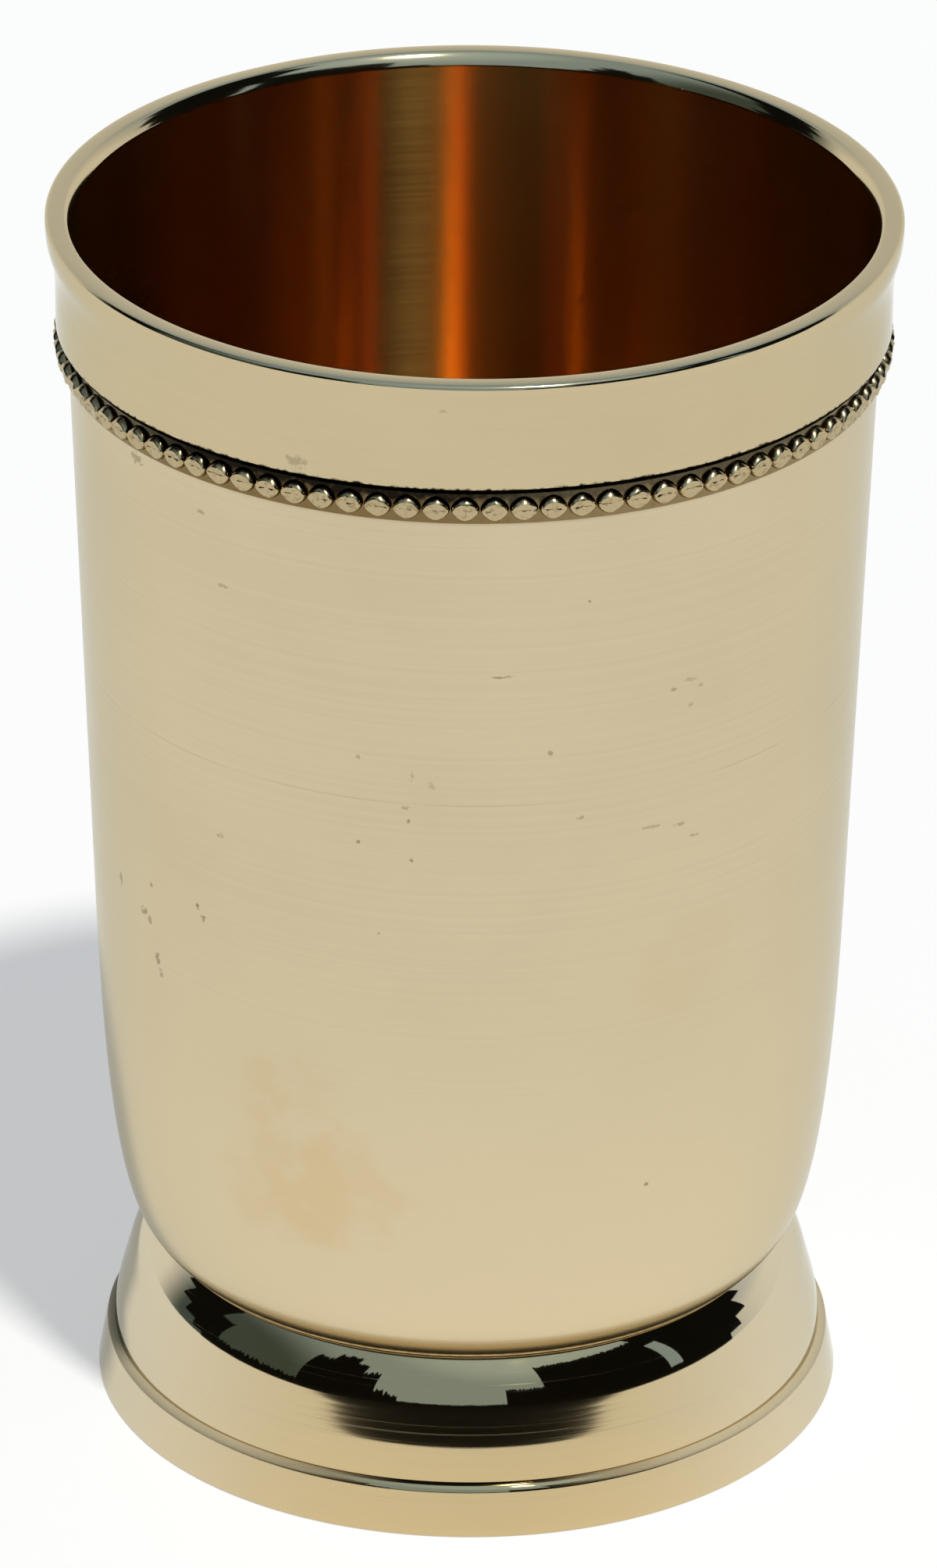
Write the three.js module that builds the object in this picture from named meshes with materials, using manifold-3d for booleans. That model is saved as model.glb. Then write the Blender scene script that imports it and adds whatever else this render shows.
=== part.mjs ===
// Footed brass tumbler: a tapered bowl on a hollow bell foot, with a flared collar round the mouth,
// a row of beads under the collar and a stepped ring round the base.
// Millimetres and degrees, +Z up, origin at the middle of the resting face.

import * as THREE from 'three';
import { mergeVertices } from 'three/addons/utils/BufferGeometryUtils.js';
import Module from 'manifold-3d';

// Overall sizes: full height, height of the foot, and the bowl's radius where its straight wall starts
const HEIGHT = 114.1;
const FOOT_HEIGHT = 15.7;
const BODY_RADIUS = 33.5;
const BODY_TAPER = 2.13;

// Bowl: sheet thickness, height of the rounded belly, and the heel that turns under to the edge of the flat bottom:
// its radius, how far that edge lies inside the wall, and its lean at the belly and at that edge
const BOWL_WALL = 1;
const BELLY_HEIGHT = 30;
const HEEL_RADIUS = 7;
const HEEL_INSET = 4.717;
const HEEL_LEAN = 22;
const HEEL_TURN = 44.7;

// Mouth collar, from the top down: upright rim edge, flare and straight waist, then its cap and inner lip
const RIM_EDGE_HEIGHT = 0.9;
const RIM_CORNER = 0.3;
const FLARE_HEIGHT = 6;
const FLARE_REACH = 0.84;
const FLARE_BEND = 2;
const WAIST_HEIGHT = 3.2;
const COLLAR_THICKNESS = 0.85;
const CAP_HEIGHT = 1.2;
const LIP_WIDTH = 0.8;
const LIP_DROP = 1.05;

// Bead band: a thin strip below the collar with a row of domes
const BEAD_RADIUS = 1.2;
const BEAD_RISE = 1.1;
const BEAD_GAP = 0.08;
const STRIP_THICKNESS = 0.45;
const STRIP_MARGIN = 0.2;
const STRIP_DROP = 0.5;

// Foot: sheet thickness, how far its top is tucked under the bowl's edge, the flange round the hole in its top,
// and the bell: a round shoulder between two leans, above a skirt that bends upright below its knee
const FOOT_WALL = 1;
const FOOT_TUCK = 0.74;
const FLANGE_WIDTH = 6.5;
const BELL_RADIUS = 8.8;
const BELL_TOP_LEAN = 48.65;
const SKIRT_LEAN = 15.5;
const KNEE_LEVEL = 8.2;

// Base ring: how far it spreads beyond the foot's top, a leaning band with a rounded shoulder,
// and an inner shelf that carries the foot
const BASE_SPREAD = 5.617;
const BAND_HEIGHT = 4.72;
const BAND_LEAN = 11.1;
const SHOULDER_RADIUS = 0.85;
const SHOULDER_SWEEP = 75;
const BASE_CORNER = 0.25;
const SHELF_HEIGHT = 1.3;
const SHELF_WIDTH = 1.6;

// Solder: the film between round faces and the washer between bowl and foot
const SOLDER_FILM = 0.15;
const SOLDER_HEIGHT = 0.3;

// Facets: steps round the axis and along a curve, and sides and rows of a bead
const ROUND_STEPS = 56;
const CURVE_STEPS = 3;
const BEAD_SIDES = 8;
const BEAD_ROWS = 3;

// Levels and radii worked out from the sizes above
const radians = THREE.MathUtils.degToRad;
const taper = Math.tan(radians(BODY_TAPER));
const bowlBottom = FOOT_HEIGHT + SOLDER_HEIGHT;
const bellyTop = bowlBottom + BELLY_HEIGHT;
const bowlTop = HEIGHT - CAP_HEIGHT;
const rimEdgeBottom = HEIGHT - RIM_EDGE_HEIGHT;
const flareBottom = rimEdgeBottom - FLARE_HEIGHT;
const collarBottom = flareBottom - WAIST_HEIGHT;
const stripTop = collarBottom - STRIP_DROP;
const beadLevel = stripTop - STRIP_MARGIN - BEAD_RADIUS;
const stripBottom = beadLevel - BEAD_RADIUS - STRIP_MARGIN;
const bottomRadius = BODY_RADIUS - HEEL_INSET;
const footTopRadius = bottomRadius - FOOT_TUCK;
const flangeHole = footTopRadius - FLANGE_WIDTH;
const baseRadius = footTopRadius + BASE_SPREAD;
const bandLean = radians(BAND_LEAN);
const shoulderLevel = BAND_HEIGHT - SHOULDER_RADIUS;
const shoulderCentre = baseRadius - shoulderLevel * Math.tan(bandLean) - SHOULDER_RADIUS / Math.cos(bandLean);
const footSocket = shoulderCentre + SHOULDER_RADIUS * Math.cos(radians(SHOULDER_SWEEP));
const spigotRadius = footSocket - SOLDER_FILM;

// Outer radius of the bowl's straight wall at a height
function bodyRadius(height) {
  return BODY_RADIUS + taper * (height - bellyTop);
}

// Inner radius of what is soldered round that wall at a height
function seatRadius(height) {
  return bodyRadius(height) + SOLDER_FILM;
}

// A point on a circle, and the bend of a curve that follows the circle from one angle to another
function onCircle(centre, radius, angle) {
  return new THREE.Vector2(Math.cos(angle), Math.sin(angle)).multiplyScalar(radius).add(centre);
}

function arcBend(centre, radius, from, to) {
  return onCircle(centre, radius / Math.cos((to - from) / 2), (from + to) / 2);
}

// Turns a profile of radius and height round the Z axis
function turned(profile) {
  const geometry = new THREE.LatheGeometry(profile.getPoints(CURVE_STEPS), ROUND_STEPS);
  geometry.rotateX(Math.PI / 2);
  return geometry;
}

function brass(color, roughness) {
  return new THREE.MeshStandardMaterial({ color, roughness, metalness: 1 });
}

function piece(name, geometry, material) {
  const mesh = new THREE.Mesh(geometry, material);
  mesh.name = name;
  return mesh;
}

// The bowl's heel and belly, from its flat bottom up to its straight wall, drawn in by an inset
function bellyCurve(inset) {
  const lean = radians(HEEL_LEAN);
  const slope = Math.tan(lean);
  const radius = HEEL_RADIUS - inset;
  const centre = new THREE.Vector2(
    bottomRadius - HEEL_RADIUS * Math.cos(radians(HEEL_TURN)),
    bowlBottom + HEEL_RADIUS * Math.sin(radians(HEEL_TURN)),
  );
  const bottomTurn = Math.asin((centre.y - bowlBottom - inset) / radius);
  const bottom = onCircle(centre, radius, -bottomTurn);
  const turn = arcBend(centre, radius, -bottomTurn, -lean);
  const heel = onCircle(centre, radius, -lean);
  const top = new THREE.Vector2(BODY_RADIUS - inset, bellyTop);
  const bendLevel = (top.x - taper * top.y - heel.x + slope * heel.y) / (slope - taper);
  const bend = new THREE.Vector2(heel.x + slope * (bendLevel - heel.y), bendLevel);
  return { bottom, turn, heel, bend, top };
}

// Bowl: one spun shell with a flat bottom, open at the top
function bowlGeometry() {
  const outer = bellyCurve(0);
  const inner = bellyCurve(BOWL_WALL);
  const profile = new THREE.Path();
  profile.moveTo(0, bowlBottom);
  profile.lineTo(outer.bottom.x, outer.bottom.y);
  profile.quadraticCurveTo(outer.turn.x, outer.turn.y, outer.heel.x, outer.heel.y);
  profile.quadraticCurveTo(outer.bend.x, outer.bend.y, outer.top.x, outer.top.y);
  profile.lineTo(bodyRadius(bowlTop), bowlTop);
  profile.lineTo(bodyRadius(bowlTop) - BOWL_WALL, bowlTop);
  profile.lineTo(inner.top.x, inner.top.y);
  profile.quadraticCurveTo(inner.bend.x, inner.bend.y, inner.heel.x, inner.heel.y);
  profile.quadraticCurveTo(inner.turn.x, inner.turn.y, inner.bottom.x, inner.bottom.y);
  profile.lineTo(0, inner.bottom.y);
  return turned(profile);
}

// Mouth collar: a flared band over the bowl's wall, with a cap that covers the wall's edge
function collarGeometry() {
  const mouth = bodyRadius(bowlTop) - BOWL_WALL;
  const waist = seatRadius(collarBottom) + COLLAR_THICKNESS;
  const rim = waist + FLARE_REACH;
  const bendLevel = rimEdgeBottom - FLARE_BEND;
  const profile = new THREE.Path();
  profile.moveTo(seatRadius(collarBottom), collarBottom);
  profile.lineTo(waist, collarBottom);
  profile.lineTo(waist, flareBottom);
  profile.bezierCurveTo(waist, bendLevel, rim, bendLevel, rim, rimEdgeBottom);
  profile.lineTo(rim, HEIGHT - RIM_CORNER);
  profile.quadraticCurveTo(rim, HEIGHT, rim - RIM_CORNER, HEIGHT);
  profile.lineTo(mouth + LIP_WIDTH, HEIGHT);
  profile.quadraticCurveTo(mouth, HEIGHT, mouth, HEIGHT - LIP_DROP);
  profile.lineTo(mouth, bowlTop);
  profile.lineTo(seatRadius(bowlTop), bowlTop);
  profile.closePath();
  return turned(profile);
}

// The foot's bell, from the base ring's top up to the bowl, drawn in by an inset
function bellCurve(inset) {
  const lean = radians(SKIRT_LEAN);
  const topLean = radians(BELL_TOP_LEAN);
  const radius = BELL_RADIUS - inset;
  const centre = new THREE.Vector2(
    footTopRadius - BELL_RADIUS * Math.cos(topLean),
    FOOT_HEIGHT - BELL_RADIUS * Math.sin(topLean),
  );
  const endLean = Math.asin((FOOT_HEIGHT - inset - centre.y) / radius);
  const low = new THREE.Vector2(spigotRadius - inset, BAND_HEIGHT);
  const shoulder = onCircle(centre, radius, lean);
  const knee = new THREE.Vector2(shoulder.x + (shoulder.y - KNEE_LEVEL) * Math.tan(lean), KNEE_LEVEL);
  const bend = new THREE.Vector2(low.x, knee.y - (low.x - knee.x) / Math.tan(lean));
  const crown = arcBend(centre, radius, lean, endLean);
  const top = onCircle(centre, radius, endLean);
  return { low, bend, knee, shoulder, crown, top };
}

// Foot: a hollow bell whose spigot stands in the base ring and whose flange carries the bowl
function footGeometry() {
  const outer = bellCurve(0);
  const inner = bellCurve(FOOT_WALL);
  const profile = new THREE.Path();
  profile.moveTo(inner.low.x, SHELF_HEIGHT);
  profile.lineTo(outer.low.x, SHELF_HEIGHT);
  profile.lineTo(outer.low.x, outer.low.y);
  profile.quadraticCurveTo(outer.bend.x, outer.bend.y, outer.knee.x, outer.knee.y);
  profile.lineTo(outer.shoulder.x, outer.shoulder.y);
  profile.quadraticCurveTo(outer.crown.x, outer.crown.y, outer.top.x, outer.top.y);
  profile.lineTo(flangeHole, FOOT_HEIGHT);
  profile.lineTo(flangeHole, FOOT_HEIGHT - FOOT_WALL);
  profile.lineTo(inner.top.x, inner.top.y);
  profile.quadraticCurveTo(inner.crown.x, inner.crown.y, inner.shoulder.x, inner.shoulder.y);
  profile.lineTo(inner.knee.x, inner.knee.y);
  profile.quadraticCurveTo(inner.bend.x, inner.bend.y, inner.low.x, inner.low.y);
  profile.closePath();
  return turned(profile);
}

// Base ring: the leaning band and its rounded shoulder, bored to take the foot's spigot on a shelf
function baseRingGeometry() {
  const bore = spigotRadius - SHELF_WIDTH;
  const cornerTop = baseRadius - BASE_CORNER * Math.tan(bandLean);
  const profile = new THREE.Path();
  profile.moveTo(bore, 0);
  profile.lineTo(baseRadius - BASE_CORNER, 0);
  profile.quadraticCurveTo(baseRadius, 0, cornerTop, BASE_CORNER);
  profile.absarc(shoulderCentre, shoulderLevel, SHOULDER_RADIUS, bandLean, radians(SHOULDER_SWEEP));
  profile.lineTo(footSocket, SHELF_HEIGHT);
  profile.lineTo(bore, SHELF_HEIGHT);
  profile.closePath();
  return turned(profile);
}

// Solder washer: fills the joint between the foot's flange and the bowl's flat bottom
function solderGeometry() {
  const profile = new THREE.Path();
  profile.moveTo(flangeHole, FOOT_HEIGHT);
  profile.lineTo(footTopRadius, FOOT_HEIGHT);
  profile.lineTo(footTopRadius, bowlBottom);
  profile.lineTo(flangeHole, bowlBottom);
  profile.closePath();
  return turned(profile);
}

// One bead: a dome on a flat base, its axis turned to point outwards along +X
function domeGeometry() {
  const curve = new THREE.EllipseCurve(0, 0, BEAD_RADIUS, BEAD_RISE, 0, Math.PI / 2);
  const points = [new THREE.Vector2(0, 0), ...curve.getPoints(BEAD_ROWS)];
  points.at(-1).x = 0;
  const geometry = new THREE.LatheGeometry(points, BEAD_SIDES);
  geometry.rotateZ(-Math.PI / 2);
  return geometry;
}

// The strip that carries the beads, leaning with the bowl's wall
function stripGeometry() {
  const profile = new THREE.Path();
  profile.moveTo(seatRadius(stripBottom), stripBottom);
  profile.lineTo(seatRadius(stripBottom) + STRIP_THICKNESS, stripBottom);
  profile.lineTo(seatRadius(stripTop) + STRIP_THICKNESS, stripTop);
  profile.lineTo(seatRadius(stripTop), stripTop);
  profile.closePath();
  return turned(profile);
}

// Bead band: the strip with every dome joined to it as one solid
async function beadBandGeometry() {
  const wasm = await Module();
  wasm.setup();
  const solid = (geometry) => {
    geometry.deleteAttribute('normal');
    geometry.deleteAttribute('uv');
    const merged = mergeVertices(geometry);
    const vertProperties = new Float32Array(merged.attributes.position.array);
    const triVerts = new Uint32Array(merged.index.array);
    return new wasm.Manifold(new wasm.Mesh({ numProp: 3, vertProperties, triVerts }));
  };

  const beadSeat = seatRadius(beadLevel) + STRIP_THICKNESS / 2;
  const beadCount = Math.round((2 * Math.PI * beadSeat) / (2 * BEAD_RADIUS + BEAD_GAP));
  let band = solid(stripGeometry());
  for (let i = 0; i < beadCount; i += 1) {
    const dome = domeGeometry();
    dome.translate(beadSeat, 0, beadLevel);
    dome.rotateZ((2 * Math.PI * i) / beadCount);
    band = band.add(solid(dome));
  }

  const joined = band.getMesh();
  const geometry = new THREE.BufferGeometry();
  geometry.setAttribute('position', new THREE.BufferAttribute(joined.vertProperties, joined.numProp));
  geometry.setIndex(new THREE.BufferAttribute(joined.triVerts, 1));
  geometry.computeVertexNormals();
  return geometry;
}

const group = new THREE.Group();
group.add(piece('bowl', bowlGeometry(), brass(0xd2c39e, 0.24)));
group.add(piece('mouth_collar', collarGeometry(), brass(0xc8ba94, 0.22)));
group.add(piece('bead_band', await beadBandGeometry(), brass(0xb9a674, 0.3)));
group.add(piece('foot', footGeometry(), brass(0xccb684, 0.2)));
group.add(piece('base_ring', baseRingGeometry(), brass(0xc8b48a, 0.22)));
group.add(piece('solder_washer', solderGeometry(), brass(0xa58f60, 0.45)));

export default group;
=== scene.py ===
"""Footed brass tumbler: finely turned pieces, worn brass finishes, a pale floor and a soft outdoor light."""

import math
import random
from types import SimpleNamespace

import bpy
from mathutils import Matrix, Vector


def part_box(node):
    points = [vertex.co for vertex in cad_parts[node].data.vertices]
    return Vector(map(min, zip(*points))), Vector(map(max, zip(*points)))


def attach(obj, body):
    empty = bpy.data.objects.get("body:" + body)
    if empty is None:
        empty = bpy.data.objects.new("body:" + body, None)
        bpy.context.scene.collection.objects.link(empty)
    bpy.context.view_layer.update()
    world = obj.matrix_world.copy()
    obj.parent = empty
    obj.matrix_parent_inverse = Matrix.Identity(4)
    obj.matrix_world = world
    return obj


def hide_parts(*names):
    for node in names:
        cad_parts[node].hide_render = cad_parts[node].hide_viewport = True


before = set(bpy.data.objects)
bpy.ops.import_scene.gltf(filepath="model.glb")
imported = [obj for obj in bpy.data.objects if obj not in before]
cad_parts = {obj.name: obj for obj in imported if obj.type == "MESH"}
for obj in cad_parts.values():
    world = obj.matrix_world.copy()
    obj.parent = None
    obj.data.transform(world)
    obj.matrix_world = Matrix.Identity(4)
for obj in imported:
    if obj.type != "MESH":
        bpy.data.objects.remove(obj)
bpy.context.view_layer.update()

# Units: profiles are drawn in millimetres and built in metres
MM = 0.001


def low(node):
    """Lowest level of a CAD node in mm."""
    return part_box(node)[0].z / MM


def high(node):
    """Highest level of a CAD node in mm."""
    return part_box(node)[1].z / MM


def reach(node):
    """Outer radius of a CAD node in mm."""
    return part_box(node)[1].x / MM


# Levels and radii read from the frame
HEIGHT = high("mouth_collar")
RIM_RADIUS = reach("mouth_collar")
COLLAR_BOTTOM = low("mouth_collar")
BOWL_TOP = high("bowl")
BOWL_BOTTOM = low("bowl")
BOWL_TOP_RADIUS = reach("bowl")
STRIP_BOTTOM = low("bead_band")
STRIP_TOP = high("bead_band")
STRIP_MIDDLE = (STRIP_BOTTOM + STRIP_TOP) / 2
FOOT_TOP = high("foot")
SHELF_LEVEL = low("foot")
SPIGOT_RADIUS = reach("foot")
FOOT_TOP_RADIUS = reach("solder_washer")
BAND_TOP = high("base_ring")

# Sizes shared with the CAD source (mm and degrees)
BODY_TAPER = math.tan(math.radians(2.13))
BOWL_WALL = 1.0
BELLY_HEIGHT = 30.0
HEEL_RADIUS = 7.0
HEEL_LEAN = 22.0
HEEL_TURN = 44.7
SOLDER_FILM = 0.15
COLLAR_THICKNESS = 0.85
RIM_EDGE_HEIGHT = 0.9
FLARE_HEIGHT = 6.0
FLARE_BEND = 2.0
LIP_WIDTH = 0.8
LIP_DROP = 1.05
STRIP_THICKNESS = 0.45
BEAD_RADIUS = 1.2
BEAD_GAP = 0.08
FOOT_WALL = 1.0
FOOT_TUCK = 0.74
FLANGE_WIDTH = 6.5
BELL_RADIUS = 8.8
BELL_TOP_LEAN = 48.65
SKIRT_LEAN = 15.5
KNEE_LEVEL = 8.2
BASE_RADIUS = 33.66
BAND_LEAN = 11.1
SHOULDER_RADIUS = 0.85
SHOULDER_SWEEP = 75.0
BASE_CORNER = 0.25
SHELF_WIDTH = 1.6

# Finer shapes than the solids have: the crown of the rim and its rounded outer corner
RIM_CROWN = 0.05
RIM_CORNER = 0.4
RIM_CORNER_SWEEP = 82.0

# The bevel of the inner lip: two guide points, each out from the mouth and down from the rim
LIP_TURN = (0.62, 0.13)
LIP_BEVEL = (0.30, 0.42)

# The fillet of solder in the crease: out and down from the foot's top edge, and out under the bowl
FILLET_FOOT = (0.28, 0.21)
FILLET_TOP = 0.68

# Fineness of the turned pieces, the softening of cut corners, and a length too small to matter
ROUND_STEPS = 360
CURVE_STEPS = 24
ARC_STEPS = 10
SHARP_ANGLE = math.radians(32)
SOFT_EDGE = 0.12
TINY = 1e-4

# A face whose normal rises more than this counts as facing up
FACES_UP = 0.5


class Outline:
    """A profile of (radius, height) points in mm, drawn from lines, arcs and Bezier curves."""

    def __init__(self, radius, height):
        self.points = [(radius, height)]

    def line(self, radius, height, steps=1):
        """A straight stretch from the last point."""
        start = self.points[-1]
        for i in range(1, steps + 1):
            t = i / steps
            self.points.append((start[0] + t * (radius - start[0]), start[1] + t * (height - start[1])))
        return self

    def arc(self, centre, radius, start, end, steps=ARC_STEPS):
        """Angles in degrees: 0 points outwards, 90 points up."""
        for i in range(steps + 1):
            angle = math.radians(start + (end - start) * i / steps)
            self.points.append((centre[0] + radius * math.cos(angle), centre[1] + radius * math.sin(angle)))
        return self

    def curve(self, *controls, steps=CURVE_STEPS):
        """A Bezier curve of any degree from the last point."""
        hull = [Vector(self.points[-1])] + [Vector(c) for c in controls]
        for i in range(1, steps + 1):
            row = hull
            while len(row) > 1:
                row = [a.lerp(b, i / steps) for a, b in zip(row, row[1:])]
            self.points.append(tuple(row[0]))
        return self

    def clean(self):
        """The points without neighbours that coincide."""
        kept = []
        for point in self.points:
            if not kept or math.dist(point, kept[-1]) > TINY:
                kept.append(point)
        if math.dist(kept[0], kept[-1]) < TINY:
            kept.pop()
        return kept


def new_piece(name, verts, faces):
    """A smooth mesh object from points in mm."""
    mesh = bpy.data.meshes.new(name)
    mesh.from_pydata([(x * MM, y * MM, z * MM) for x, y, z in verts], [], faces)
    mesh.validate()
    mesh.shade_smooth()
    mesh.set_sharp_from_angle(angle=SHARP_ANGLE)
    piece = bpy.data.objects.new(name, mesh)
    bpy.context.scene.collection.objects.link(piece)
    return piece


def turned_mesh(outline, steps=ROUND_STEPS):
    """Points and faces of an outline turned round Z. It is closed, or starts and ends on the axis."""
    profile = outline.clean()
    on_axis = [radius < TINY for radius, height in profile]
    verts = []
    rings = []
    for (radius, height), axis in zip(profile, on_axis):
        first = len(verts)
        if axis:
            verts.append((0, 0, height))
            rings.append([first] * steps)
            continue
        for i in range(steps):
            angle = 2 * math.pi * i / steps
            verts.append((radius * math.cos(angle), radius * math.sin(angle), height))
        rings.append(list(range(first, first + steps)))
    if not on_axis[0]:
        rings.append(rings[0])
    faces = []
    for below, above in zip(rings, rings[1:]):
        for i in range(steps):
            j = (i + 1) % steps
            corners = dict.fromkeys((below[i], below[j], above[j], above[i]))
            if len(corners) > 2:
                faces.append(tuple(corners))
    return verts, faces


def turned(name, outline):
    """A piece turned from an outline."""
    verts, faces = turned_mesh(outline)
    return new_piece(name, verts, faces)


def body_radius(height):
    """Outer radius of the bowl's straight wall at a level."""
    return BOWL_TOP_RADIUS - BODY_TAPER * (BOWL_TOP - height)


def seat_radius(height):
    """Inner radius of what is soldered round that wall at a level."""
    return body_radius(height) + SOLDER_FILM


def belly(inset):
    """The bowl's heel arc and belly curve, drawn in by an inset."""
    lean = math.radians(HEEL_LEAN)
    slope = math.tan(lean)
    deep = math.radians(HEEL_TURN)
    radius = HEEL_RADIUS - inset
    centre = (
        FOOT_TOP_RADIUS + FOOT_TUCK - HEEL_RADIUS * math.cos(deep),
        BOWL_BOTTOM + HEEL_RADIUS * math.sin(deep),
    )
    bottom_turn = math.asin((centre[1] - BOWL_BOTTOM - inset) / radius)
    heel = (centre[0] + radius * math.cos(lean), centre[1] - radius * math.sin(lean))
    top_level = BOWL_BOTTOM + BELLY_HEIGHT
    top = (body_radius(top_level) - inset, top_level)
    bend_level = (top[0] - BODY_TAPER * top[1] - heel[0] + slope * heel[1]) / (slope - BODY_TAPER)
    bend = (heel[0] + slope * (bend_level - heel[1]), bend_level)
    return SimpleNamespace(
        centre=centre, radius=radius, turn=math.degrees(bottom_turn), heel=heel, bend=bend, top=top
    )


def make_bowl():
    outside = belly(0)
    inside = belly(BOWL_WALL)
    outline = Outline(0, BOWL_BOTTOM)
    outline.line(FOOT_TOP_RADIUS + FOOT_TUCK, BOWL_BOTTOM, steps=6)
    outline.arc(outside.centre, outside.radius, -outside.turn, -HEEL_LEAN, steps=16)
    outline.curve(outside.bend, outside.top)
    outline.line(BOWL_TOP_RADIUS, BOWL_TOP, steps=24)
    outline.line(BOWL_TOP_RADIUS - BOWL_WALL, BOWL_TOP)
    outline.line(*inside.top, steps=24)
    outline.curve(inside.bend, inside.heel)
    outline.arc(inside.centre, inside.radius, -HEEL_LEAN, -inside.turn, steps=16)
    outline.line(0, BOWL_BOTTOM + BOWL_WALL, steps=6)
    return turned("bowl_shell", outline)


def make_collar():
    mouth = BOWL_TOP_RADIUS - BOWL_WALL
    waist = seat_radius(COLLAR_BOTTOM) + COLLAR_THICKNESS
    edge = HEIGHT - RIM_EDGE_HEIGHT
    bend = edge - FLARE_BEND
    corner = (RIM_RADIUS - RIM_CORNER, HEIGHT - RIM_CROWN - RIM_CORNER)
    lip = (mouth + LIP_WIDTH, HEIGHT - RIM_CROWN)
    turn = (mouth + LIP_TURN[0], HEIGHT - LIP_TURN[1])
    bevel = (mouth + LIP_BEVEL[0], HEIGHT - LIP_BEVEL[1])
    outline = Outline(seat_radius(COLLAR_BOTTOM), COLLAR_BOTTOM)
    outline.line(waist - SOFT_EDGE, COLLAR_BOTTOM)
    outline.arc((waist - SOFT_EDGE, COLLAR_BOTTOM + SOFT_EDGE), SOFT_EDGE, -90, 0, steps=5)
    outline.line(waist, edge - FLARE_HEIGHT, steps=4)
    outline.curve((waist, bend), (RIM_RADIUS, bend), (RIM_RADIUS, edge))
    outline.line(RIM_RADIUS, corner[1])
    outline.arc(corner, RIM_CORNER, 0, RIM_CORNER_SWEEP)
    outline.curve(((corner[0] + lip[0]) / 2, HEIGHT + RIM_CROWN), lip, steps=10)
    outline.curve(turn, bevel, (mouth, HEIGHT - LIP_DROP), steps=14)
    outline.line(mouth, BOWL_TOP)
    outline.line(seat_radius(BOWL_TOP), BOWL_TOP)
    return turned("lip_ring", outline)


# A bead is a dome cut by a worn face. Its outline is an oval with pointed ends: a point of 1 is a plain oval
BEAD_SPAN = 1.24
BEAD_DOME = 1.35
BEAD_POINT = 1.2
BEAD_RINGS = 13
BEAD_SIDES = 28
BEAD_SEED = 7

# Its rings grow long early and tall late, which makes the face a lens
BEAD_LONG_POWER = 0.6
BEAD_TALL_POWER = 2.0

# The worn face: how far out it lies, its slope, the rounding of its edge, its hollow and how that fades
FACE_LIFT = 0.80
FACE_SLOPE = math.tan(math.radians(10))
FACE_EDGE = 0.12
FACE_HOLLOW = 0.10
HOLLOW_FALL = 2

# How far each face strays from that form, in how many waves round it, and the least share of that in a wave
FACE_STRAY = 0.05
STRAY_WAVES = 4
STRAY_LEAST = 0.4


def softer_of(first, second, blend):
    """The lesser of two heights, rounded where they meet."""
    return min(first, second) - max(blend - abs(first - second), 0) ** 2 / (4 * blend)


def pointed(value):
    """A cosine or sine drawn in towards the middle, which gives an oval pointed ends."""
    return math.copysign(abs(value) ** BEAD_POINT, value)


def bead_points(chance):
    """One bead as rings of (outwards, along, up) offsets in mm."""
    rings = []
    waves = [(chance.uniform(0, 2 * math.pi), chance.uniform(STRAY_LEAST, 1)) for _ in range(STRAY_WAVES)]
    for k in range(BEAD_RINGS + 1):
        share = math.sin(0.5 * math.pi * k / BEAD_RINGS)
        dome = BEAD_DOME * math.sqrt(max(0, 1 - share * share))
        hollow = FACE_HOLLOW * math.exp(-((HOLLOW_FALL * share) ** 2))
        ring = []
        for s in range(BEAD_SIDES if k else 1):
            angle = 2 * math.pi * s / BEAD_SIDES
            along = BEAD_SPAN * share ** BEAD_LONG_POWER * pointed(math.cos(angle))
            up = BEAD_RADIUS * share ** BEAD_TALL_POWER * pointed(math.sin(angle))
            stray = sum(size * math.cos((n + 2) * angle + turn) for n, (turn, size) in enumerate(waves))
            face = FACE_LIFT + FACE_SLOPE * up - hollow + FACE_STRAY * stray * share
            ring.append((softer_of(dome, face, FACE_EDGE), along, up))
        rings.append(ring)
    return rings


def make_bead_band():
    outline = Outline(seat_radius(STRIP_BOTTOM), STRIP_BOTTOM)
    outline.line(seat_radius(STRIP_BOTTOM) + STRIP_THICKNESS, STRIP_BOTTOM)
    outline.line(seat_radius(STRIP_TOP) + STRIP_THICKNESS, STRIP_TOP)
    outline.line(seat_radius(STRIP_TOP), STRIP_TOP)
    verts, faces = turned_mesh(outline)
    seat = seat_radius(STRIP_MIDDLE) + STRIP_THICKNESS / 2
    count = round(2 * math.pi * seat / (2 * BEAD_RADIUS + BEAD_GAP))
    chance = random.Random(BEAD_SEED)
    for i in range(count):
        turn = 2 * math.pi * i / count
        out = Vector((math.cos(turn), math.sin(turn), 0))
        along = Vector((-math.sin(turn), math.cos(turn), 0))
        starts = []
        for ring in bead_points(chance):
            starts.append(len(verts))
            for lift, side, up in ring:
                point = out * (seat + lift) + along * side + Vector((0, 0, STRIP_MIDDLE + up))
                verts.append(tuple(point))
        for s in range(BEAD_SIDES):
            t = (s + 1) % BEAD_SIDES
            faces.append((starts[0], starts[1] + s, starts[1] + t))
            for near, far in zip(starts[1:], starts[2:]):
                faces.append((near + s, far + s, far + t, near + t))
        back = starts[-1]
        faces.append(tuple(back + s for s in reversed(range(BEAD_SIDES))))
    return new_piece("bead_wire", verts, faces)


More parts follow.
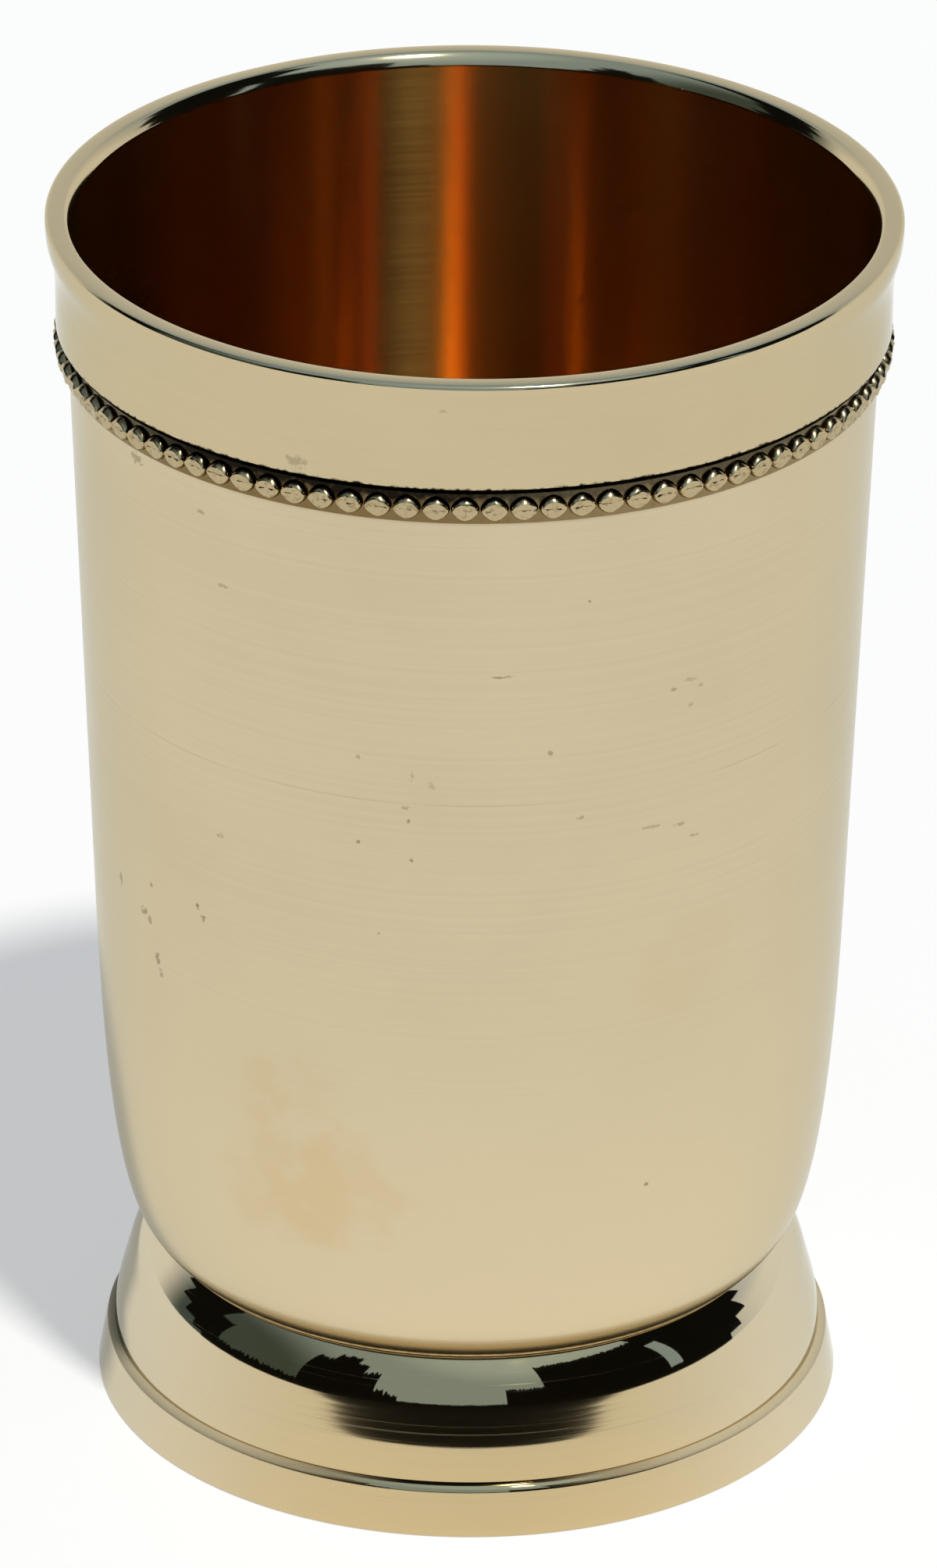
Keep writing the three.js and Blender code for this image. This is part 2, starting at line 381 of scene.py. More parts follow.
def bell(inset):
    """The foot's bell, drawn in by an inset.

    Its skirt starts upright, leans in above its knee, then rounds over.
    """
    lean = math.radians(SKIRT_LEAN)
    top_lean = math.radians(BELL_TOP_LEAN)
    radius = BELL_RADIUS - inset
    centre = Vector((FOOT_TOP_RADIUS, FOOT_TOP))
    centre -= BELL_RADIUS * Vector((math.cos(top_lean), math.sin(top_lean)))
    end_lean = math.degrees(math.asin((FOOT_TOP - inset - centre.y) / radius))
    start = Vector((SPIGOT_RADIUS - inset, BAND_TOP))
    shoulder = centre + radius * Vector((math.cos(lean), math.sin(lean)))
    knee = Vector((shoulder.x + (shoulder.y - KNEE_LEVEL) * math.tan(lean), KNEE_LEVEL))
    bend = Vector((start.x, knee.y - (start.x - knee.x) / math.tan(lean)))
    return SimpleNamespace(
        start=start, bend=bend, knee=knee, shoulder=shoulder, centre=centre, radius=radius, end_lean=end_lean
    )


def make_foot():
    outside = bell(0)
    inside = bell(FOOT_WALL)
    hole = FOOT_TOP_RADIUS - FLANGE_WIDTH
    outline = Outline(inside.start.x, SHELF_LEVEL)
    outline.line(outside.start.x, SHELF_LEVEL)
    outline.line(*outside.start)
    outline.curve(outside.bend, outside.knee, steps=14)
    outline.line(*outside.shoulder, steps=6)
    outline.arc(outside.centre, outside.radius, SKIRT_LEAN, outside.end_lean, steps=32)
    outline.line(hole, FOOT_TOP, steps=3)
    outline.line(hole, FOOT_TOP - FOOT_WALL)
    outline.arc(inside.centre, inside.radius, inside.end_lean, SKIRT_LEAN, steps=20)
    outline.line(*inside.knee, steps=3)
    outline.curve(inside.bend, inside.start, steps=8)
    return turned("foot_bell", outline)


def make_base_ring():
    lean = math.radians(BAND_LEAN)
    sweep = math.radians(SHOULDER_SWEEP)
    level = BAND_TOP - SHOULDER_RADIUS * math.sin(sweep)
    centre = (BASE_RADIUS - level * math.tan(lean) - SHOULDER_RADIUS / math.cos(lean), level)
    bore = SPIGOT_RADIUS - SHELF_WIDTH
    outline = Outline(bore, SOFT_EDGE)
    outline.line(bore + SOFT_EDGE, 0)
    outline.line(BASE_RADIUS - BASE_CORNER, 0, steps=3)
    outline.curve((BASE_RADIUS, 0), (BASE_RADIUS - BASE_CORNER * math.tan(lean), BASE_CORNER), steps=6)
    outline.arc(centre, SHOULDER_RADIUS, BAND_LEAN, SHOULDER_SWEEP, steps=14)
    outline.line(SPIGOT_RADIUS, BAND_TOP)
    outline.line(SPIGOT_RADIUS, SHELF_LEVEL)
    outline.line(bore, SHELF_LEVEL)
    return turned("base_band", outline)


def make_solder():
    hole = FOOT_TOP_RADIUS - FLANGE_WIDTH
    foot = (FOOT_TOP_RADIUS + FILLET_FOOT[0], FOOT_TOP - FILLET_FOOT[1])
    bend = (foot[0], BOWL_BOTTOM - FILLET_FOOT[1])
    outline = Outline(hole, FOOT_TOP)
    outline.line(FOOT_TOP_RADIUS, FOOT_TOP)
    outline.line(*foot)
    outline.curve(bend, (FOOT_TOP_RADIUS + FILLET_TOP, BOWL_BOTTOM), steps=6)
    outline.line(hole, BOWL_BOTTOM)
    return turned("solder_seam", outline)


# Polished brass as it shows in plain light, the tints that age and handling leave on it, and the colours of
# painted shade and painted reflection (linear colour)
BRASS = (0.650, 0.545, 0.355)
# Pale brass for low on the bowl: a painted brighter reflection
PALE_REFLECTION_BRASS = (0.685, 0.570, 0.366)
COLLAR_BRASS = (0.600, 0.497, 0.302)
FOOT_BRASS = (0.608, 0.477, 0.260)
# Paler foot brass for the sides: a painted reflection
PALE_REFLECTION_FOOT = (0.670, 0.585, 0.420)
INSIDE_BRASS = (0.940, 0.600, 0.150)
BEAD_BRASS = (0.500, 0.400, 0.225)
EDGE_TINT = (0.800, 0.810, 0.770)
WARM_STAIN = (0.640, 0.460, 0.230)
# Near black, for tarnish and for painted shade
SHADE_AND_TARNISH = (0.012, 0.009, 0.006)
# Brown, for grime and painted shade, and for pits and crumbs
GRIME_AND_SHADE = (0.210, 0.140, 0.060)
SPECK = (0.260, 0.205, 0.120)
# A dull pale film for the ring's shoulder: a painted pale reflection
PALE_FILM_REFLECTION = (0.460, 0.390, 0.250)

# Turning lines: how fast they change across and along the axis (per mm), and the finer ones on the foot
TURNED_GRAIN = (0.006, 0.006, 2.4)
FINE_GRAIN = (0.01, 0.01, 9.0)

# Roughness of the foot, and of its finer lines
FOOT_ROUGHNESS = 0.03
FINE_LINE_ROUGHNESS = 0.14


class Nodes:
    """Short ways to add and link the nodes of one material or world."""

    def __init__(self, owner, shader):
        owner.use_nodes = True
        self.owner = owner
        self.tree = owner.node_tree
        self.shader = self.tree.nodes[shader]

    def add(self, kind, **settings):
        node = self.tree.nodes.new("ShaderNode" + kind)
        for key, value in settings.items():
            setattr(node, key, value)
        return node

    def put(self, socket, value):
        """Links a socket to another one, or sets its value."""
        if isinstance(value, bpy.types.NodeSocket):
            self.tree.links.new(value, socket)
        else:
            socket.default_value = value

    def give(self, name, value):
        """Puts a value on one of the shader's own sockets."""
        self.put(self.shader.inputs[name], value)

    def math(self, operation, *values):
        node = self.add("Math", operation=operation)
        for socket, value in zip(node.inputs, values):
            self.put(socket, value)
        return node.outputs[0]

    def scaled(self, vector, factors):
        node = self.add("VectorMath", operation="MULTIPLY")
        self.put(node.inputs[0], vector)
        self.put(node.inputs[1], factors)
        return node.outputs[0]

    def split(self, vector):
        node = self.add("SeparateXYZ")
        self.put(node.inputs[0], vector)
        return node.outputs

    def noise(self, vector, scale, detail):
        node = self.add("TexNoise")
        self.put(node.inputs["Vector"], vector)
        self.put(node.inputs["Scale"], scale)
        self.put(node.inputs["Detail"], detail)
        return node.outputs[0]

    def spread(self, vector, scale, detail, width):
        """Noise moved to lie about 0, within half a width to each side."""
        return self.math("MULTIPLY_ADD", self.noise(vector, scale, detail), width, -width / 2)

    def ramp(self, value, start, end, low_value=0.0, high_value=1.0):
        """A smooth step from the low value at the start to the high value at the end."""
        node = self.add("MapRange", interpolation_type="SMOOTHSTEP")
        for socket, number in zip(node.inputs, (value, start, end, low_value, high_value)):
            self.put(socket, number)
        return node.outputs[0]

    def mix(self, factor, first, second):
        """A blend of two colours."""
        node = self.add("Mix", data_type="RGBA")
        self.put(node.inputs["Factor"], factor)
        for socket, value in zip((node.inputs[6], node.inputs[7]), (first, second)):
            self.put(socket, value if isinstance(value, bpy.types.NodeSocket) else (*value, 1))
        return node.outputs[2]

    def place(self):
        """Position on the object in mm."""
        return self.scaled(self.add("TexCoord").outputs["Object"], (1 / MM,) * 3)

    def around(self, place):
        """Azimuth from the front in degrees, and height in mm."""
        x, y, z = self.split(place)
        angle = self.math("ARCTAN2", x, self.math("MULTIPLY", y, -1.0))
        return self.math("DEGREES", angle), z

    def distance_from_axis(self, place):
        node = self.add("VectorMath", operation="LENGTH")
        self.put(node.inputs[0], self.scaled(place, (1, 1, 0)))
        return node.outputs["Value"]


class Finish(Nodes):
    """A new material."""

    def __init__(self, name):
        super().__init__(bpy.data.materials.new(name), "Principled BSDF")


class Brass(Finish):
    """Turned brass: fine rings round the axis in height, gloss and tint, and a slow drift of colour.

    Keeps the position on the object, the tint and the roughness for what is laid over them.
    """

    def __init__(self, name, colour, roughness, line_depth, anisotropic):
        super().__init__(name)
        self.where = self.place()
        rings = self.noise(self.scaled(self.where, TURNED_GRAIN), 1.0, 3.0)
        drift = self.noise(self.where, 0.06, 4.0)
        wear = self.math("MULTIPLY_ADD", rings, 0.4, self.math("MULTIPLY", drift, 0.6))
        darker = tuple(c * 0.9 for c in colour)
        self.tint = self.mix(self.ramp(wear, 0.35, 0.65, 0.0, 0.35), colour, darker)
        grain = self.math("ADD", rings, drift)
        self.roughness = self.math("MULTIPLY_ADD", grain, roughness * 0.3, roughness * 0.7)
        bump = self.add("Bump")
        self.put(bump.inputs["Strength"], 1.0)
        self.put(bump.inputs["Distance"], line_depth * MM)
        self.put(bump.inputs["Height"], rings)
        tangent = self.add("Tangent", direction_type="RADIAL", axis="Z")
        self.give("Metallic", 1.0)
        self.give("Specular Tint", (*EDGE_TINT, 1))
        self.give("Anisotropic", anisotropic)
        self.give("Anisotropic Rotation", 0.25)
        self.give("Tangent", tangent.outputs[0])
        self.give("Normal", bump.outputs[0])
        self.give("Roughness", self.roughness)
        self.give("Base Color", self.tint)


# Specks and scuffs on the bowl: azimuth from the front in degrees, then level, half width and half height in mm,
# then strength
SPECKS = [
    (-54.7, 99.4, 0.9, 0.6, 0.6), (-41.3, 97.2, 0.5, 0.25, 0.5), (-37.5, 90.8, 0.7, 0.2, 0.5),
    (16.6, 92.4, 0.2, 0.2, 0.7), (4.0, 85.6, 1.0, 0.1, 0.7), (5.6, 85.7, 0.6, 0.1, 0.6),
    (32.8, 82.9, 0.7, 0.25, 0.35), (30.0, 82.3, 0.35, 0.2, 0.5), (34.6, 82.1, 0.3, 0.2, 0.4),
    (33.0, 80.4, 0.3, 0.2, 0.35), (-16.3, 77.2, 0.25, 0.2, 0.45), (11.4, 78.0, 0.25, 0.25, 0.6),
    (-8.4, 75.8, 0.2, 0.5, 0.35), (-5.6, 75.0, 0.35, 0.4, 0.3), (-9.2, 72.7, 0.5, 0.2, 0.45),
    (-8.9, 71.4, 0.25, 0.25, 0.75), (31.8, 68.9, 0.7, 0.2, 0.5), (27.2, 69.3, 1.0, 0.15, 0.4),
    (16.0, 71.4, 0.35, 0.2, 0.5), (34.5, 67.4, 0.6, 0.2, 0.4), (-39.4, 66.1, 0.4, 0.3, 0.5),
    (-16.4, 68.8, 0.3, 0.2, 0.7), (-8.5, 67.6, 0.25, 0.3, 0.8), (-57.9, 54.4, 0.6, 0.4, 0.7),
    (-56.4, 53.9, 0.4, 0.5, 0.6), (-44.4, 58.0, 0.4, 0.3, 0.8), (-43.4, 57.1, 0.4, 0.3, 0.7),
    (-54.6, 50.4, 0.4, 0.7, 0.7), (-53.8, 49.2, 0.3, 0.6, 0.6), (-13.4, 60.1, 0.2, 0.2, 0.6),
    (28.8, 33.2, 0.3, 0.25, 0.7), (-65.5, 55.6, 0.3, 0.7, 0.6), (-55.6, 57.6, 0.3, 0.3, 0.6),
]

# Warm stains on the bowl, and smudges on the collar, given in the same way
STAINS = [
    (-22.0, 33.5, 8.5, 7.0, 0.28), (-31.0, 34.0, 8.0, 9.0, 0.25), (-25.5, 43.0, 5.0, 4.0, 0.18),
    (33.0, 54.0, 7.0, 7.0, 0.15), (-34.0, 41.0, 5.0, 5.5, 0.20),
]
SMUDGES = [
    (-24.3, COLLAR_BOTTOM + 1.1, 1.1, 0.8, 0.5),
    (-3.9, COLLAR_BOTTOM + 7.6, 0.5, 0.2, 0.35),
]

# The bowl is painted paler low down, a painted brighter reflection, fading between two levels, and has a fine
# scratch right round it
PALE_FROM = 25.0
PALE_TO = 62.0
SCRATCH_LEVEL = 73.1
SCRATCH_HALF = 0.09

# Heights above the bead strip's bottom where grime and painted shade on the bowl start, are full, and start to
# darken
BOWL_GRIME_SHADE_START = -0.6
BOWL_GRIME_SHADE_FULL = 0.1
BOWL_GRIME_SHADE_DARKENS = 1.0

# The inside is smoothest within the first angle off its sides (degrees), and plain beyond the second
SIDE_AZIMUTH = 90.0
SMOOTH_WITHIN = 20.0
PLAIN_BEYOND = 65.0
SMOOTH_SHARE = 0.55

# Tarnish and painted shade along the collar's lower edge: how much its height waves, and the heights where it
# fades and is full
EDGE_WAVE = 0.8
EDGE_FADES = 0.62
EDGE_FULL = 0.38

# Depths below a bead's worn face where dirt and painted shade start and are full, and heights where they are
# brown and black
DIRT_SHADE_START = 0.10
DIRT_SHADE_FULL = 0.34
DIRT_SHADE_BROWN = -0.3
DIRT_SHADE_BLACK = 1.1

# That dirt and painted shade is heaviest at the front left: azimuths where it is full and where it is down to a
# share
LEFT_FULL = -8.0
LEFT_ENDS = 22.0
RIGHT_SHARE = 0.82
FRONT_FULL = 40.0
FRONT_ENDS = 70.0
BACK_SHARE = 0.6

# The foot is painted paler between two azimuths, a painted reflection. A dull pale film, a painted pale
# reflection, grows on the ring between two others
FOOT_PALE = (15.0, 75.0)
FILM_GROWS = (8.0, 45.0)
FILM_MOST = 0.9

# Height of the rounded shoulder's upper part, which the film covers, and half the height of the film's edge
FILM_HEIGHT = 0.45
FILM_EDGE = 0.15


def spot(nodes, angle, level, mark, ragged, edge):
    """A mask with a mark's strength inside an oval on the wall, fading out over a ragged edge."""
    azimuth, height, half_width, half_height, strength = mark
    degree = math.radians(1) * body_radius(height)
    across = nodes.math("MULTIPLY", nodes.math("SUBTRACT", angle, azimuth), degree / half_width)
    up = nodes.math("DIVIDE", nodes.math("SUBTRACT", level, height), half_height)
    squares = nodes.math("ADD", nodes.math("MULTIPLY", across, across), nodes.math("MULTIPLY", up, up))
    return nodes.ramp(nodes.math("ADD", squares, ragged), edge, 1.0, strength, 0.0)


def bowl_outside():
    """Satin brass with stains, specks and a scratch, painted paler low down as a painted reflection, and grime
    and painted shade at the beads that are darker above them.
    """
    nodes = Brass("brass_bowl_outside", BRASS, roughness=0.22, line_depth=0.004, anisotropic=0.6)
    place = nodes.where
    angle, level = nodes.around(place)
    # Painted reflection: the bowl is painted paler low down
    colour = nodes.mix(nodes.ramp(level, PALE_TO, PALE_FROM), nodes.tint, PALE_REFLECTION_BRASS)
    blotch = nodes.spread(place, 0.25, 3.0, 3.0)
    for stain in STAINS:
        colour = nodes.mix(spot(nodes, angle, level, stain, blotch, 0.0), colour, WARM_STAIN)
    crumb = nodes.spread(place, 2.6, 2.0, 4.0)
    for speck in SPECKS:
        colour = nodes.mix(spot(nodes, angle, level, speck, crumb, 0.3), colour, SPECK)
    off = nodes.math("ABSOLUTE", nodes.math("SUBTRACT", level, SCRATCH_LEVEL))
    worn = nodes.ramp(nodes.noise(place, 0.11, 1.0), 0.40, 0.62, 0.0, 0.25)
    scratch = nodes.math("MULTIPLY", nodes.ramp(off, SCRATCH_HALF, 0.0), worn)
    colour = nodes.mix(scratch, colour, SPECK)
    # Painted shade and grime: brown just below the beads, near black in the gap above the strip
    near = nodes.ramp(level, STRIP_BOTTOM + BOWL_GRIME_SHADE_START, STRIP_BOTTOM + BOWL_GRIME_SHADE_FULL)
    patchy = nodes.ramp(nodes.noise(place, 0.8, 3.0), 0.25, 0.75, 0.45, 1.0)
    dirt_and_shade = nodes.mix(nodes.ramp(level, STRIP_BOTTOM + BOWL_GRIME_SHADE_DARKENS, STRIP_TOP), GRIME_AND_SHADE, SHADE_AND_TARNISH)
    nodes.give("Base Color", nodes.mix(nodes.math("MULTIPLY", near, patchy), colour, dirt_and_shade))
    return nodes.owner


def bowl_inside():
    """Warm brass, rubbed smoother at the sides than at the front and back."""
    nodes = Brass("brass_bowl_inside", INSIDE_BRASS, roughness=0.16, line_depth=0.001, anisotropic=1.0)
    angle = nodes.around(nodes.where)[0]
    off_side = nodes.math("SUBTRACT", nodes.math("ABSOLUTE", angle), SIDE_AZIMUTH)
    off_side = nodes.math("ABSOLUTE", off_side)
    share = nodes.ramp(off_side, SMOOTH_WITHIN, PLAIN_BEYOND, SMOOTH_SHARE, 1.0)
    nodes.give("Roughness", nodes.math("MULTIPLY", nodes.roughness, share))
    return nodes.owner


def collar_finish():
    """Bright brass with a few smudges, and a wavy line of tarnish and painted shade along its lower edge."""
    nodes = Brass("brass_collar", COLLAR_BRASS, roughness=0.09, line_depth=0.002, anisotropic=0.4)
    place = nodes.where
    angle, level = nodes.around(place)
    # Painted shade and tarnish: a wavy near-black line along the lower edge, where it meets the beads
    wavy = nodes.math("MULTIPLY_ADD", nodes.noise(place, 1.4, 3.0), EDGE_WAVE, level)
    line = nodes.ramp(wavy, COLLAR_BOTTOM + EDGE_FADES, COLLAR_BOTTOM + EDGE_FULL)
    colour = nodes.mix(line, nodes.tint, SHADE_AND_TARNISH)
    crumb = nodes.spread(place, 1.6, 2.0, 4.0)
    for smudge in SMUDGES:
        colour = nodes.mix(spot(nodes, angle, level, smudge, crumb, 0.0), colour, SPECK)
    nodes.give("Base Color", colour)
    return nodes.owner


def bead_finish():
    """Bright worn faces. Round them is brown grime and painted shade, and above them tarnish and painted shade,
    heaviest at the front left.
    """
    nodes = Brass("brass_beads", BEAD_BRASS, roughness=0.16, line_depth=0.002, anisotropic=0.0)
    place = nodes.where
    angle, level = nodes.around(place)
    pits = nodes.ramp(nodes.noise(place, 2.4, 3.0), 0.50, 0.70, 0.0, 0.5)
    colour = nodes.mix(pits, nodes.tint, GRIME_AND_SHADE)
    # Painted shade and dirt: brown in the hollows round each face, near black higher up, heaviest at the front
    # left
    face = seat_radius(STRIP_MIDDLE) + STRIP_THICKNESS / 2 + FACE_LIFT
    up = nodes.math("SUBTRACT", level, STRIP_MIDDLE)
    crumb = nodes.spread(place, 1.8, 3.0, 0.4)
    out = nodes.math("MULTIPLY_ADD", up, -FACE_SLOPE, nodes.distance_from_axis(place))
    deep = nodes.ramp(nodes.math("ADD", out, crumb), face - DIRT_SHADE_START, face - DIRT_SHADE_FULL)
    mottle = nodes.spread(place, 1.1, 3.0, 3.0)
    black = nodes.ramp(nodes.math("ADD", up, mottle), DIRT_SHADE_BROWN, DIRT_SHADE_BLACK)
    dirt_and_shade = nodes.mix(black, GRIME_AND_SHADE, SHADE_AND_TARNISH)
    patchy = nodes.math("MULTIPLY_ADD", crumb, 60.0, angle)
    left = nodes.ramp(patchy, LEFT_ENDS, LEFT_FULL, RIGHT_SHARE, 1.0)
    front = nodes.ramp(nodes.math("ABSOLUTE", angle), FRONT_ENDS, FRONT_FULL, BACK_SHARE, 1.0)
    share = nodes.math("MULTIPLY", deep, nodes.math("MULTIPLY", left, front))
    nodes.give("Base Color", nodes.mix(share, colour, dirt_and_shade))
    return nodes.owner


def foot_finish(name, film_level=None):
    """Mirror-bright brass, painted paler towards the sides as a painted reflection, with a few fine turning
    lines that are rougher.

    Above the film's level a dull pale film covers it at the sides and back, a painted pale reflection.
    """
    nodes = Brass(name, FOOT_BRASS, roughness=FOOT_ROUGHNESS, line_depth=0.0008, anisotropic=1.0)
    angle, level = nodes.around(nodes.where)
    aside = nodes.math("ABSOLUTE", angle)
    # Painted reflection: the foot is painted paler towards the sides
    colour = nodes.mix(nodes.ramp(aside, *FOOT_PALE), nodes.tint, PALE_REFLECTION_FOOT)
    lines = nodes.noise(nodes.scaled(nodes.where, FINE_GRAIN), 1.0, 1.0)
    roughness = nodes.ramp(lines, 0.66, 0.74, FOOT_ROUGHNESS, FINE_LINE_ROUGHNESS)
    if film_level is not None:
        # Painted reflection: a dull pale film on the shoulder's upper part at the sides and back
        above = nodes.ramp(level, film_level - FILM_EDGE, film_level + FILM_EDGE)
        film = nodes.math("MULTIPLY", above, nodes.ramp(aside, *FILM_GROWS, 0.0, FILM_MOST))
        roughness = nodes.math("MAXIMUM", roughness, film)
        colour = nodes.mix(film, colour, PALE_FILM_REFLECTION)
        nodes.give("Metallic", nodes.math("SUBTRACT", 1.0, film))
    nodes.give("Base Color", colour)
    nodes.give("Roughness", roughness)
    return nodes.owner


def solder_finish():
    nodes = Brass("solder_dull", FOOT_BRASS, roughness=0.20, line_depth=0.002, anisotropic=0.0)
    crumb = nodes.ramp(nodes.noise(nodes.where, 1.2, 3.0), 0.4, 0.7, 0.0, 0.4)
    nodes.give("Base Color", nodes.mix(crumb, nodes.tint, GRIME_AND_SHADE))
    return nodes.owner


def dress(piece, node, slot, *materials):
    """A piece takes the place of its CAD node, rides on the body and gets its finish."""
    for material in materials:
        piece.data.materials.append(material)
    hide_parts(node)
    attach(piece, "root")


def paint_inside(bowl):
    """The faces that look at the axis, and the floor of the bowl, take its second material."""
    for polygon in bowl.data.polygons:
        centre = polygon.center / MM
        normal = polygon.normal
        inward = centre.x * normal.x + centre.y * normal.y < -TINY
        floor_inside = normal.z > FACES_UP and centre.z < BOWL_BOTTOM + 2 * BOWL_WALL
        polygon.material_index = 1 if inward or floor_inside else 0


bowl = make_bowl()
dress(bowl, "bowl", "bowl_brass", bowl_outside(), bowl_inside())
paint_inside(bowl)
dress(make_collar(), "mouth_collar", "collar_brass", collar_finish())
dress(make_bead_band(), "bead_band", "bead_brass", bead_finish())
dress(make_foot(), "foot", "foot_brass", foot_finish("brass_foot"))
ring_finish = foot_finish("brass_base_ring", BAND_TOP - FILM_HEIGHT)
dress(make_base_ring(), "base_ring", "ring_brass", ring_finish)
dress(make_solder(), "solder_washer", "solder", solder_finish())

# Stage in metres: a pale floor just under the part, and the light of its own that seen rays get
FLOOR_SIZE = 6.0
FLOOR_DROP = 0.00002
FLOOR_ALBEDO = 0.50
FLOOR_LIFT = 0.46

# A dome of soft sky: its size and fineness, and its colours
SKY_RADIUS = 5.0
SKY_BANDS = 12
SKY_STEPS = 48
SKY_TOP = (0.33, 0.45, 0.58)
SKY_HAZE = (0.80, 0.81, 0.84)
SKY_EDGE = (0.97, 0.96, 0.94)
SKY_GLOW = (0.50, 0.66, 0.82)
SKY_SIDE = (0.07, 0.10, 0.10)

# Its share of light for rays that aren't seen, its share after two mirror bounces, and how many are followed
SKY_LIGHT = 0.4
SKY_DEEP = 0.03
GLOSSY_BOUNCES = 5

# A soft sun: its place and width in degrees, its strength and its colour
SUN_ELEVATION = 63.0
SUN_AZIMUTH = 27.0
SUN_ANGLE = 5.0
SUN_STRENGTH = 3.0
SUN_COLOUR = (1.0, 0.97, 0.92)

# Dark flags that stand round the cup and show only in the metal (metres and degrees)
FLAG_RADIUS = 1.2
FLAG_STEP = 0.5
FLAG_SEED = 11
FLAG_COLOUR = (0.006, 0.006, 0.005)

# Each flag in degrees: azimuth of its start and end, height of its foot and top, raggedness of its top
FLAGS = [
    (-126, -118, 34, 66, 4.0), (-118, -112, 24, 66, 3.0), (-112, -106, 15, 66, 3.0), (-106, -100, 8, 60, 3.0),
    (-100, -95, 3, 40, 3.0), (-95, -88, 0, 26, 1.0), (-88, -56, 0, 8, 2.0), (-56, 95, 0, 6.5, 0.4),
    (-56, -50, 0, 38, 2.0), (-50, -41, 0, 45, 2.0), (-41, -36, 0, 39, 2.0), (-36, -30, 0, 33, 3.0),
    (-30, -22, 0, 14, 4.0), (13, 26, 0, 22, 1.5), (26, 69, 0, 45, 0.8), (69, 74, 36, 62, 0.8),
    (74, 95, 0, 62, 0.8), (95, 101, 5, 64, 2.0), (101, 107, 13, 66, 3.0), (107, 113, 24, 66, 3.0),
    (113, 120, 36, 66, 3.0),
]


def seen_rays(nodes):
    """1 for rays from the camera, from gloss and through glass, else 0."""
    path = nodes.add("LightPath")
    shine = nodes.math("MAXIMUM", path.outputs["Is Glossy Ray"], path.outputs["Is Transmission Ray"])
    return nodes.math("MAXIMUM", path.outputs["Is Camera Ray"], shine)


def make_floor():
    half = FLOOR_SIZE / 2 / MM
    corners = [(-half, -half, 0), (half, -half, 0), (half, half, 0), (-half, half, 0)]
    floor = new_piece("floor", corners, [(0, 1, 2, 3)])
    nodes = Finish("floor_white")
    nodes.give("Base Color", (FLOOR_ALBEDO,) * 3 + (1,))
    nodes.give("Roughness", 1.0)
    nodes.give("Specular IOR Level", 0.0)
    nodes.give("Emission Color", (1, 1, 1, 1))
    nodes.give("Emission Strength", nodes.math("MULTIPLY", seen_rays(nodes), FLOOR_LIFT))
    floor.data.materials.append(nodes.owner)
    floor.location.z = -FLOOR_DROP


def unlit(name):
    """The nodes of a stage material that only glows."""
    nodes = Finish(name)
    nodes.give("Base Color", (0, 0, 0, 1))
    nodes.give("Specular IOR Level", 0.0)
    nodes.give("Emission Strength", 1.0)
    return nodes


def sun_direction():
    """The way to the sun, one metre long."""
    lift = math.radians(SUN_ELEVATION)
    side = math.radians(SUN_AZIMUTH)
    return Vector((math.cos(lift) * math.sin(side), -math.cos(lift) * math.cos(side), math.sin(lift)))


def sky_mesh():
    """Points and faces of a dome that is closed at its top by a flat cap."""
    radius = SKY_RADIUS / MM
    profile = Outline(radius, -1).arc((0, 0), radius, 0, 90, steps=SKY_BANDS).points[:-1]
    turns = [2 * math.pi * i / SKY_STEPS for i in range(SKY_STEPS)]
    verts = [(r * math.cos(turn), r * math.sin(turn), z) for r, z in profile for turn in turns]
    faces = []
    for k in range(len(profile) - 1):
        below = k * SKY_STEPS
        above = below + SKY_STEPS
        for i in range(SKY_STEPS):
            j = (i + 1) % SKY_STEPS
            faces.append((below + i, above + i, above + j, below + j))
    cap = (len(profile) - 1) * SKY_STEPS
    faces.append(tuple(cap + i for i in reversed(range(SKY_STEPS))))
    return verts, faces


def sky_colour(nodes):
    """Blue overhead, pale low down at the back, dark at the far left, and brighter round the sun."""
    outwards = nodes.scaled(nodes.place(), (MM / SKY_RADIUS,) * 3)
    x, y, z = nodes.split(outwards)
    back = nodes.ramp(y, -0.3, 0.8)
    haze = nodes.math("MULTIPLY", back, nodes.ramp(z, 0.85, 0.35))
    edge = nodes.math("MULTIPLY", back, nodes.ramp(z, 0.40, 0.20))
    left = nodes.math("MULTIPLY", nodes.ramp(x, -0.5, -0.85), nodes.ramp(y, 0.6, 0.3))
    toward = nodes.add("VectorMath", operation="DOT_PRODUCT")
    nodes.put(toward.inputs[0], outwards)
    nodes.put(toward.inputs[1], sun_direction())
    colour = nodes.mix(haze, SKY_TOP, SKY_HAZE)
    colour = nodes.mix(edge, colour, SKY_EDGE)
    colour = nodes.mix(left, colour, SKY_SIDE)
    return nodes.mix(nodes.ramp(toward.outputs["Value"], 0.80, 0.99), colour, SKY_GLOW)


def make_sky():
    verts, faces = sky_mesh()
    sky = new_piece("sky_dome", verts, faces)
    nodes = unlit("sky_glow")
    nodes.give("Emission Color", sky_colour(nodes))
    deep = nodes.math("GREATER_THAN", nodes.add("LightPath").outputs["Glossy Depth"], 1.5)
    dimmed = nodes.math("MULTIPLY_ADD", deep, SKY_DEEP - 1, 1.0)
    shown = nodes.math("MULTIPLY_ADD", seen_rays(nodes), 1 - SKY_LIGHT, SKY_LIGHT)
    nodes.give("Emission Strength", nodes.math("MULTIPLY", shown, dimmed))
    sky.data.materials.append(nodes.owner)
    sky.visible_camera = False
    sky.visible_shadow = False


